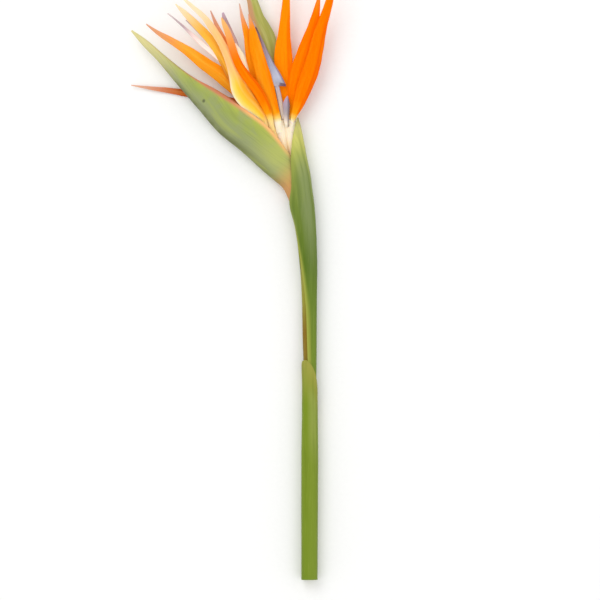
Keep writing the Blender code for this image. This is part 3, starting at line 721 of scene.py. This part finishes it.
class Graph:
    """The nodes of one material. Inputs may be sockets, numbers or colours.

    Place holds the values of that mark: reach, side and a third one. Run holds the
    lengths along and around, and a seed.
    """

    def __init__(self, name, gloss):
        self.material = bpy.data.materials.new(name)
        self.material.use_nodes = True
        self.tree = self.material.node_tree
        self.shader = self.tree.nodes["Principled BSDF"]
        self.set("Specular IOR Level", gloss)
        self.place = self.mark("place")
        self.run = self.mark("run")

    def set(self, name, value):
        self.shader.inputs[name].default_value = value

    def tint_gloss(self, colour):
        """Highlights in the colour of the tissue below the skin."""
        self.set("Specular Tint", colour)

    def put(self, kind, inputs, output=0, **settings):
        """The output of a new node of that kind, with those inputs and settings."""
        made = self.tree.nodes.new("ShaderNode" + kind)
        for key, value in settings.items():
            setattr(made, key, value)
        for key, value in inputs.items():
            if isinstance(value, bpy.types.NodeSocket):
                self.tree.links.new(value, made.inputs[key])
            else:
                made.inputs[key].default_value = value
        return made.outputs[output]

    def mark(self, name):
        """The three values of a mark."""
        vector = self.put("Attribute", {}, output="Vector", attribute_name=name)
        return tuple(self.put("SeparateXYZ", {0: vector}).node.outputs)

    def calc(self, kind, a, b=0.0):
        return self.put("Math", {0: a, 1: b}, operation=kind)

    def times(self, a, b):
        return self.calc("MULTIPLY", a, b)

    def mix(self, share, a, b):
        """Colour a where the share is 0, colour b where it is 1."""
        return self.put("Mix", {0: share, 6: a, 7: b}, output=2, data_type="RGBA")

    def lay(self, base, colour, value, start, end, share=1.0):
        """The base with up to that share of a colour, as a value goes from start to end."""
        return self.mix(self.band(value, start, end, 0.0, share), base, colour)

    def band(self, value, start, end, low=0.0, high=1.0, kind="SMOOTHSTEP"):
        """low up to start, high from end, smooth or straight between."""
        inputs = {"Value": value, "From Min": start, "From Max": end, "To Min": low, "To Max": high}
        return self.put("MapRange", inputs, interpolation_type=kind)

    def ramp(self, value, start, end, stops):
        """Colours along a value that runs from start to end. Stops are in that value."""
        share = self.band(value, start, end, kind="LINEAR")
        made = self.put("ValToRGB", {"Fac": share}).node
        elements = made.color_ramp.elements
        while len(elements) < len(stops):
            elements.new(0.5)
        for element, (place, colour) in zip(elements, stops):
            element.position = (place - start) / (end - start)
            element.color = colour
        return made.outputs["Color"]

    def streaks(self, fineness, stretch, seed=None):
        """Noise drawn out along a piece, from 0 to 1."""
        along, around, own = self.run
        seed = own if seed is None else seed
        x = self.times(around, fineness)
        y = self.times(along, fineness / stretch)
        return self.noise(self.put("CombineXYZ", {0: x, 1: y, 2: seed}), 1.0)

    def blotches(self, size):
        """Even noise in the object's own space, from 0 to 1. Size is in millimetres."""
        where = self.put("TexCoord", {}, output="Object")
        return self.noise(where, 1.0 / (size * MM))

    def noise(self, where, scale):
        inputs = {"Vector": where, "Scale": scale, "Detail": NOISE_DETAIL}
        return self.put("TexNoise", inputs)

    def colour(self, value):
        self.tree.links.new(value, self.shader.inputs["Base Color"])

    def roughness(self, value, low, high):
        """Roughness from low to high as that value rises."""
        self.tree.links.new(self.band(value, 0.3, 0.7, low, high), self.shader.inputs["Roughness"])

    def bump(self, height, strength, distance):
        inputs = {"Height": height, "Strength": strength, "Distance": distance * MM}
        self.tree.links.new(self.put("Bump", inputs), self.shader.inputs["Normal"])

    def painted_glow(self, colour, strength):
        """A painted glow of its own, standing in for light that comes through a thin piece from
        behind.
        """
        self.set("Emission Color", colour)
        self.set("Emission Strength", strength)

    def glow(self, weight, radius, scale):
        """Light that spreads inside thin tissue."""
        self.set("Subsurface Weight", weight)
        self.set("Subsurface Radius", radius)
        self.set("Subsurface Scale", scale * MM)


def sepal(body, shade, light, tip, foot=ROOT_WHITE, root=ROOT_YELLOW, near_root=None,
          root_length=1.0, shade_from=0.3, shade_to=0.75, side=1.0, tip_from=0.82,
          tip_share=0.9, painted_glow=0.0):
    """A look for a sepal.

    Shade is the colour of its one side, its rims and its fine lines, and light that of
    its broad streaks. Foot, root and near_root follow each other up from its root, at
    lengths from the sepal line that root_length stretches. The right side is shaded, or
    the left one where side is -1.
    """
    def make(name):
        graph = Graph(name, 0.14)
        graph.tint_gloss(body)
        reach, across, _ = graph.place
        up = graph.calc("DIVIDE", graph.run[0], root_length)
        base = graph.ramp(up, -9.0, 18.0, [
            (-9.0, foot), (-3.0, foot), (0.5, root), (4.5, near_root or body), (16.0, body),
        ])
        blade = graph.band(up, 1.0, 9.0)
        broad = graph.streaks(0.45, 18.0)
        fine = graph.streaks(2.2, 40.0)
        turned = graph.times(across, side)
        shaded = graph.band(turned, shade_from, shade_from + 0.25, 0.0, 0.75)
        shaded = graph.times(shaded, blade)
        away = graph.band(reach, shade_to - 0.2, shade_to, 1.0, 0.0)
        base = graph.mix(graph.times(shaded, away), base, shade)
        lit = graph.times(graph.band(broad, 0.44, 0.7, 0.0, 0.45), blade)
        base = graph.mix(lit, base, light)
        lines = graph.times(graph.band(fine, 0.5, 0.72, 0.0, 0.3), blade)
        base = graph.mix(lines, base, shade)
        rim = graph.band(graph.calc("ABSOLUTE", across), 0.88, 0.99, 0.0, 0.5)
        base = graph.mix(graph.times(rim, blade), base, shade)
        graph.colour(graph.lay(base, tip, reach, tip_from, 1.0, tip_share))
        graph.roughness(broad, 0.36, 0.5)
        graph.bump(fine, 0.35, 0.12)
        graph.glow(0.2, (1.0, 0.3, 0.05), 1.0)
        # A painted glow of the sepal's own colour, at the given strength
        graph.painted_glow(body, painted_glow)
        return graph.material
    return make


def valley_look(name):
    """The yellow sepal: a cream left rim of painted highlight, a yellow middle and an orange right
    side.
    """
    graph = Graph(name, 0.14)
    reach, across, _ = graph.place
    broad = graph.streaks(0.45, 18.0)
    fine = graph.streaks(2.2, 40.0)
    # Across it: the cream left rim is a painted highlight along the fold, then yellow to an orange
    # right side
    base = graph.ramp(across, -1.0, 1.0, [
        (-1.0, CREAM), (-0.65, rgb(255, 222, 116)), (-0.25, rgb(255, 206, 60)),
        (0.25, rgb(255, 184, 42)), (0.8, rgb(255, 162, 30)),
    ])
    base = graph.lay(base, PEACH, reach, 0.3, 0.46, 0.85)
    base = graph.lay(base, FADED, reach, 0.64, 0.9)
    base = graph.lay(base, rgb(255, 226, 150), broad, 0.44, 0.7, 0.25)
    base = graph.lay(base, ORANGE_LIGHT, fine, 0.5, 0.75, 0.22)
    base = graph.lay(base, ROOT_WARM, graph.run[0], 3.0, -5.0)
    graph.colour(base)
    graph.roughness(broad, 0.36, 0.5)
    graph.bump(fine, 0.35, 0.12)
    graph.glow(0.2, (1.0, 0.6, 0.2), 1.0)
    return graph.material


def petal(stops, pale, dark, rim_from=0.8, barb=0.0, painted_glow=0.0, shade_right=False):
    """A look for a blue or withered petal, dark at its edges or with painted shade at its right.

    Stops are colours along its reach. From barb a painted shadow lies under its barbs, if it has any.
    """
    def make(name):
        graph = Graph(name, 0.25)
        reach, across, _ = graph.place
        base = graph.ramp(reach, 0.0, 1.0, stops)
        fine = graph.streaks(2.0, 30.0)
        base = graph.lay(base, pale, fine, 0.42, 0.7, 0.45)
        wide = graph.calc("ABSOLUTE", across)
        # Dark along both edges, or painted shade over the right side alone
        rim = graph.band(across if shade_right else wide, rim_from, 1.0, 0.0, 0.7)
        base = graph.mix(rim, base, dark)
        if barb:
            # Painted shadow: a dark band just under the barbs, towards the sides
            barb_shadow = graph.band(reach, barb + 0.022, barb + 0.008)
            barb_shadow = graph.times(barb_shadow, graph.band(wide, 0.2, 0.5))
            barb_shadow = graph.times(barb_shadow, graph.band(reach, barb - 0.01, barb, 0.0, 0.85))
            base = graph.mix(barb_shadow, base, BARB_SHADOW)
        graph.colour(base)
        graph.roughness(fine, 0.35, 0.5)
        graph.bump(fine, 0.3, 0.1)
        graph.glow(0.15, (1.0, 0.7, 0.6), 0.8)
        # A painted glow of the pale colour, at the given strength
        graph.painted_glow(pale, painted_glow)
        return graph.material
    return make


def spathe_look(name):
    """The spathe: painted shade at its keel, with a pale grey waxy coat and a red and peach margin."""
    graph = Graph(name, 0.3)
    reach, side, margin = graph.place
    along, around, inside = graph.run
    broad = graph.streaks(0.16, 9.0, seed=0.0)
    fine = graph.streaks(1.3, 50.0, seed=3.0)
    cloudy = graph.blotches(14.0)
    up = graph.calc("ABSOLUTE", side)
    # Dark olive at the keel is painted shade; the paler greens and yellow towards the margins are its
    # colour
    base = graph.ramp(up, 0.0, 1.0, [
        (0.0, KEEL_SHADE), (0.16, SPATHE_OLIVE), (0.42, SPATHE_BLOOM),
        (0.7, SPATHE_GREEN), (0.92, SPATHE_YELLOW),
    ])
    base = graph.lay(base, SPATHE_BLOOM, cloudy, 0.45, 0.65, 0.55)
    base = graph.lay(base, SPATHE_YELLOW, broad, 0.45, 0.7, 0.45)
    pale = graph.band(reach, 0.36, 0.18, 0.0, 0.7)
    pale = graph.times(pale, graph.band(up, 0.3, 0.6, 0.3, 1.0))
    base = graph.mix(pale, base, SPATHE_PALE)
    base = graph.lay(base, SPATHE_TIP, reach, 0.66, 0.95)
    base = graph.lay(base, SPATHE_HEEL, reach, 0.17, 0.05, 0.9)
    base = graph.lay(base, SPATHE_OLIVE, fine, 0.48, 0.75, 0.3)
    base = graph.mix(spot_share(graph, along, around), base, SPATHE_SPOT)
    edge = graph.ramp(reach, 0.0, 1.0, [
        (0.0, SPATHE_HEEL), (0.12, MARGIN_TAN), (0.24, MARGIN_PEACH), (0.4, MARGIN_PEACH),
        (0.5, MARGIN_RED), (0.64, MARGIN_RED), (0.74, MARGIN_OLIVE), (1.0, SPATHE_TIP),
    ])
    wide = graph.band(reach, 0.5, 0.75, 4.2, 1.6)
    near_edge = graph.band(graph.calc("DIVIDE", margin, wide), 1.0, 0.2, 0.0, 0.95)
    base = graph.mix(near_edge, base, edge)
    base = graph.mix(graph.times(inside, 0.7), base, MARGIN_PEACH)
    graph.colour(base)
    graph.roughness(cloudy, 0.42, 0.62)
    graph.bump(graph.calc("ADD", fine, broad), 0.3, 0.15)
    graph.glow(0.1, (0.6, 0.8, 0.2), 1.0)
    return graph.material


def spot_share(graph, along, around):
    """1 in the middle of the spathe's blemish, 0 outside it."""
    spot_along, spot_around, radius = SPOT
    x = graph.calc("SUBTRACT", along, spot_along)
    y = graph.calc("SUBTRACT", around, spot_around)
    squares = graph.calc("ADD", graph.times(x, x), graph.times(y, y))
    return graph.band(graph.calc("SQRT", squares), radius, 0.3 * radius, 0.0, 0.75)


def green_look(stops, dark, light, upper_highlight, rim_colour, rim_share=0.8, rim_above=1.0, cut=None):
    """A look for the stalk and its sheaths, with a painted highlight along their upper side.

    Stops are colours along the reach. The rim fades to rim_above of its share higher up.
    Cut is the colour of the flesh at a cut end.
    """
    def make(name):
        graph = Graph(name, 0.22)
        graph.tint_gloss(light)
        reach, side, angle = graph.place
        broad = graph.streaks(0.35, 22.0)
        fine = graph.streaks(2.4, 60.0)
        base = graph.ramp(reach, 0.0, 1.0, stops)
        # Painted highlight: a pale band along the upper side, weaker low down and near the tip
        upper = graph.band(angle, 0.45, 1.0, 0.0, 0.6)
        upper = graph.times(upper, graph.band(angle, 1.9, 1.35))
        upper = graph.times(upper, graph.band(reach, 0.5, 0.72, 0.2, 1.0))
        upper = graph.times(upper, graph.band(reach, 0.84, 0.92, 1.0, 0.1))
        base = graph.mix(upper, base, upper_highlight)
        base = graph.lay(base, dark, broad, 0.55, 0.3, 0.34)
        base = graph.lay(base, light, fine, 0.5, 0.75, 0.4)
        rim = graph.band(graph.calc("ABSOLUTE", side), 0.78, 0.98, 0.0, rim_share)
        rim = graph.times(rim, graph.band(reach, 0.64, 0.76, 1.0, rim_above))
        base = graph.mix(rim, base, rim_colour)
        if cut:
            fibres = graph.band(graph.blotches(0.7), 0.42, 0.62, 0.0, 0.5)
            flesh = graph.mix(fibres, cut, dark)
            base = graph.lay(base, flesh, graph.run[2], 0.97, 0.88)
        graph.colour(base)
        graph.roughness(broad, 0.38, 0.52)
        graph.bump(fine, 0.35, 0.15)
        graph.glow(0.06, (0.5, 0.8, 0.2), 0.8)
        return graph.material
    return make


def base_look(top):
    """A look for a floret's base, with the colour of its top."""
    def make(name):
        graph = Graph(name, 0.2)
        fine = graph.streaks(1.5, 25.0)
        base = graph.ramp(graph.place[0], 0.0, 1.0, [
            (0.0, rgb(246, 190, 120)), (0.45, rgb(252, 222, 176)), (0.7, top), (1.0, top),
        ])
        graph.colour(graph.lay(base, PEACH, fine, 0.45, 0.75, 0.3))
        graph.roughness(fine, 0.4, 0.5)
        graph.bump(fine, 0.3, 0.15)
        graph.glow(0.25, (1.0, 0.7, 0.4), 1.2)
        return graph.material
    return make


def bract_look(name):
    """The inner bract: yellow at its root, lightened there by painted light, and a rusty upper left
    edge.
    """
    graph = Graph(name, 0.25)
    reach, side, _ = graph.place
    fine = graph.streaks(1.6, 50.0)
    broad = graph.streaks(0.3, 12.0)
    base = graph.mix(graph.band(broad, 0.35, 0.65), rgb(168, 170, 80), rgb(190, 192, 112))
    # Yellow towards the root: its own colour, made lighter as painted light where the sepals shade it
    base = graph.lay(base, rgb(226, 202, 104), reach, 0.5, 0.25, 0.8)
    left = graph.times(graph.band(side, 0.05, -0.5, 0.0, 0.85), graph.band(reach, 0.5, 0.72))
    base = graph.mix(left, base, rgb(204, 146, 112))
    base = graph.lay(base, rgb(152, 152, 80), side, 0.45, 0.95, 0.7)
    base = graph.lay(base, rgb(152, 156, 82), fine, 0.5, 0.8, 0.35)
    graph.colour(base)
    graph.roughness(broad, 0.42, 0.55)
    graph.bump(fine, 0.35, 0.15)
    graph.glow(0.1, (0.7, 0.8, 0.2), 1.0)
    return graph.material


def floor_look(name):
    graph = Graph(name, 0.2)
    graph.set("Roughness", 0.75)
    grain = graph.blotches(3.0)
    graph.colour(graph.mix(grain, rgb(246, 246, 245), rgb(250, 250, 249)))
    graph.bump(grain, 0.05, 0.1)
    return graph.material


MAKERS = {
    "sepal_deep": sepal(ORANGE_DEEP, ORANGE_RED, ORANGE_BRIGHT, TIP_ORANGE, near_root=ORANGE_AMBER),
    "sepal_split": sepal(ORANGE_DEEP, ORANGE_RED, ORANGE_BRIGHT, TIP_GOLD, foot=ROOT_WARM,
                         near_root=ORANGE_AMBER, tip_from=0.62),
    "sepal_slim": sepal(ORANGE_BRIGHT, ORANGE_DEEP, ORANGE_LIGHT, rgb(212, 174, 158),
                        near_root=ORANGE_AMBER, tip_from=0.76),
    "sepal_dusky": sepal(ORANGE_BRIGHT, ORANGE_BROWN, ORANGE_LIGHT, rgb(206, 158, 138), tip_from=0.6,
                         tip_share=0.95),
    # The folded sepal gets a painted glow that lightens it where its neighbours shade it
    "sepal_folded": sepal(ORANGE_FOLD, ORANGE_RED, ORANGE_BRIGHT, TIP_ORANGE, painted_glow=0.12),
    "sepal_bright": sepal(ORANGE_BRIGHT, ORANGE_DEEP, ORANGE_LIGHT, TIP_BROWN, near_root=ORANGE_AMBER,
                          tip_from=0.86, tip_share=0.8),
    "sepal_amber": sepal(rgb(253, 160, 36), ORANGE_BRIGHT, GOLD, TIP_BROWN, tip_from=0.64,
                         tip_share=0.85),
    "sepal_gold": sepal(GOLD, ORANGE_BROWN, YELLOW, FADED, shade_from=0.25, shade_to=0.66,
                        side=-1.0, tip_from=0.7),
    "sepal_yellow": valley_look,
    # The pale sepal: its own cream colour, made paler, and a painted glow lighten it where its
    # neighbours shade it
    "sepal_pale": sepal(rgb(255, 246, 208), CREAM, rgb(255, 250, 222), rgb(238, 218, 204), root=YELLOW,
                        tip_from=0.86, tip_share=0.8, painted_glow=0.2),
    "sepal_brown": sepal(rgb(206, 104, 36), rgb(164, 64, 20), rgb(232, 150, 88), TIP_PALE,
                         root=rgb(246, 184, 124), root_length=5.0, tip_from=0.6, tip_share=0.7),
    "petal_blue": petal(BLUE_STOPS, rgb(206, 206, 222), rgb(108, 76, 104), 0.66, barb=0.254),
    # The hood petal: painted shade darkens its right side
    "petal_pale": petal([
        (0.0, ROOT_WHITE), (0.12, ROOT_WHITE), (0.26, rgb(220, 204, 190)), (0.4, rgb(180, 170, 168)),
        (0.6, rgb(166, 154, 164)), (1.0, rgb(184, 156, 184)),
    ], rgb(192, 180, 190), rgb(76, 60, 62), -0.1, shade_right=True),
    # The withered petal: its own pale colours, made lighter, and a painted glow lighten it where
    # others shade it
    "petal_withered": petal(WITHERED_STOPS, rgb(255, 240, 232), rgb(186, 136, 124), painted_glow=0.2),
    "petal_dusky": petal([
        (0.0, ROOT_WHITE), (0.3, rgb(216, 186, 170)), (0.6, rgb(206, 176, 172)),
        (0.78, rgb(206, 164, 144)), (0.9, rgb(170, 138, 146)), (1.0, rgb(196, 168, 194)),
    ], rgb(222, 200, 200), rgb(150, 122, 142), 0.6),
    "spathe": spathe_look,
    "stem": green_look([
        (0.0, rgb(132, 142, 56)), (0.5, rgb(136, 118, 44)), (0.6, rgb(134, 102, 34)),
        (0.68, rgb(146, 142, 56)), (1.0, rgb(150, 150, 72)),
    ], rgb(112, 88, 30), rgb(156, 146, 64), rgb(148, 136, 60), rgb(120, 118, 48), rim_share=0.2,
        cut=rgb(214, 214, 160)),
    "sheath": green_look([
        (0.0, rgb(124, 144, 34)), (0.35, rgb(108, 132, 34)), (0.58, rgb(88, 112, 36)),
        (0.74, rgb(112, 130, 56)), (0.82, rgb(132, 146, 72)), (0.89, rgb(172, 178, 92)),
        (0.94, rgb(206, 202, 110)), (0.97, rgb(208, 200, 120)), (1.0, rgb(154, 136, 92)),
    ], rgb(84, 106, 36), rgb(136, 150, 74), rgb(136, 148, 104), rgb(168, 170, 78), rim_above=0.3),
    "lower_sheath": green_look([
        (0.0, rgb(116, 138, 42)), (0.8, rgb(120, 140, 40)), (1.0, rgb(158, 154, 72)),
    ], rgb(98, 116, 36), rgb(146, 160, 70), rgb(152, 162, 86), rgb(154, 152, 66)),
    "base": base_look(ROOT_WHITE),
    "base_warm": base_look(ROOT_WARM),
    "bract_green": bract_look,
    "floor": floor_look,
}


def look(coat):
    """The material for that coat, made once."""
    name = coat + "_look"
    return bpy.data.materials.get(name) or MAKERS[coat](name)


# Surroundings

def add_camera():
    data = bpy.data.cameras.new("camera")
    data.sensor_width = SENSOR_WIDTH
    data.lens = SENSOR_WIDTH * CAMERA_DISTANCE / VIEW_WIDTH
    camera = add_object("camera", data)
    camera.location = (*VIEW_MIDDLE, VIEW_HEIGHT + CAMERA_DISTANCE)
    bpy.context.scene.camera = camera


def add_light(name, place, size, power):
    data = bpy.data.lights.new(name, "AREA")
    data.shape = "DISK"
    data.size = size
    data.energy = power
    light = add_object(name, data)
    light.location = place
    away = np.array(place) - np.array(LIGHT_TARGET)
    tilt = math.acos(away[2] / np.linalg.norm(away))
    turn = math.atan2(away[1], away[0]) + math.pi / 2
    light.rotation_euler = (tilt, 0.0, turn)


def add_floor():
    bpy.ops.mesh.primitive_plane_add(size=FLOOR_SIZE, location=(0.0, 0.0, -FLOOR_DROP))
    floor = bpy.context.object
    floor.name = "floor"
    floor.data.materials.append(look("floor"))


def add_world():
    world = bpy.data.worlds.new("studio")
    world.use_nodes = True
    background = world.node_tree.nodes["Background"]
    background.inputs["Color"].default_value = (1.0, 1.0, 1.0, 1.0)
    background.inputs["Strength"].default_value = WORLD_STRENGTH
    bpy.context.scene.world = world
    bpy.context.scene.view_settings.view_transform = "Standard"


def add_surroundings():
    add_floor()
    add_world()
    for name, (place, size, power) in LIGHTS.items():
        add_light(name, place, size, power)


# The whole flower

def add_stem():
    add_rod("stem", STEM_STATIONS, STEM_SECTIONS, STEM_SIDES, SHEATH_VEIN_GAP,
            SHEATH_VEIN_HEIGHT, "stem")


def add_floret_bases():
    """The floret bases, widened to close the gaps between them."""
    for node, stations in FLORET_BASES.items():
        broad = [(x, y, z, BASE_SWELL * wide, high) for x, y, z, wide, high in stations]
        coat = "base_warm" if node in WARM_BASES else "base"
        add_rod(node, broad, BASE_SECTIONS, BASE_SIDES, BASE_VEIN_GAP, BASE_VEIN_HEIGHT, coat)


def add_styles():
    for node, stations in STYLES.items():
        add_rod(node, stations, STYLE_SECTIONS, STYLE_SIDES, 0.0, 0.0, "petal_withered")


def add_flower():
    add_stem()
    add_upper_sheath()
    add_lower_sheath()
    add_spathe()
    add_floret_bases()
    for count, (node, (coat, keel, fold, stations)) in enumerate(BLADES.items()):
        add_blade(node, coat, keel, fold, stations, BLADE_SEED * count)
    for count, (node, (coat, keel, claw, head)) in enumerate(ARROWS.items()):
        add_arrow(node, coat, keel, claw, head, ARROW_SEED * count)
    add_styles()


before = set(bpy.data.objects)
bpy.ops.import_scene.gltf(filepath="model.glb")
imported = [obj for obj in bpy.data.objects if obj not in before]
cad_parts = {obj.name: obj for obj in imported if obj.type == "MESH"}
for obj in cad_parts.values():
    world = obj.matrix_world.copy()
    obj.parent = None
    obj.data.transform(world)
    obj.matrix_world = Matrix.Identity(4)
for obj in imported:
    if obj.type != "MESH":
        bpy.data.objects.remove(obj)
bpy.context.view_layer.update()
add_camera()
add_surroundings()
add_flower()
